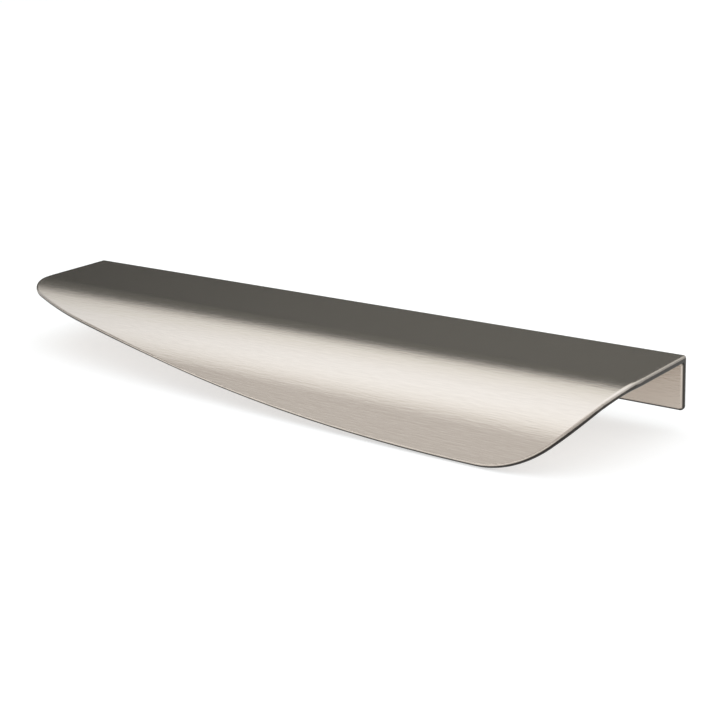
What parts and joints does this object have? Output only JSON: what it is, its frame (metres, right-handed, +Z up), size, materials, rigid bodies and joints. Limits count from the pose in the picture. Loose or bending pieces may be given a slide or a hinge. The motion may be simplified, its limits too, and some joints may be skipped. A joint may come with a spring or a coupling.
{
  "type": "cabinet edge pull",
  "caption": "Brushed metal edge pull: a straight plate with a fixing flange, a flat top that caps a door edge and a rolled finger lip with an uneven bowed outline.",
  "frame": {"origin": "midway between the two screw holes, on the front face of the flange, which is pressed against the back of the door", "axes": "X along the pull, -Y towards the user and the finger lip, Z up, with the flat top horizontal"},
  "size_m": [0.2, 0.0465, 0.0186],
  "materials": {
    "brushed_metal": "brushed along the length, warm stainless steel look, satin"
  },
  "bodies": {
    "root": {"edge_pull": "brushed_metal"}
  },
  "joints": []
}
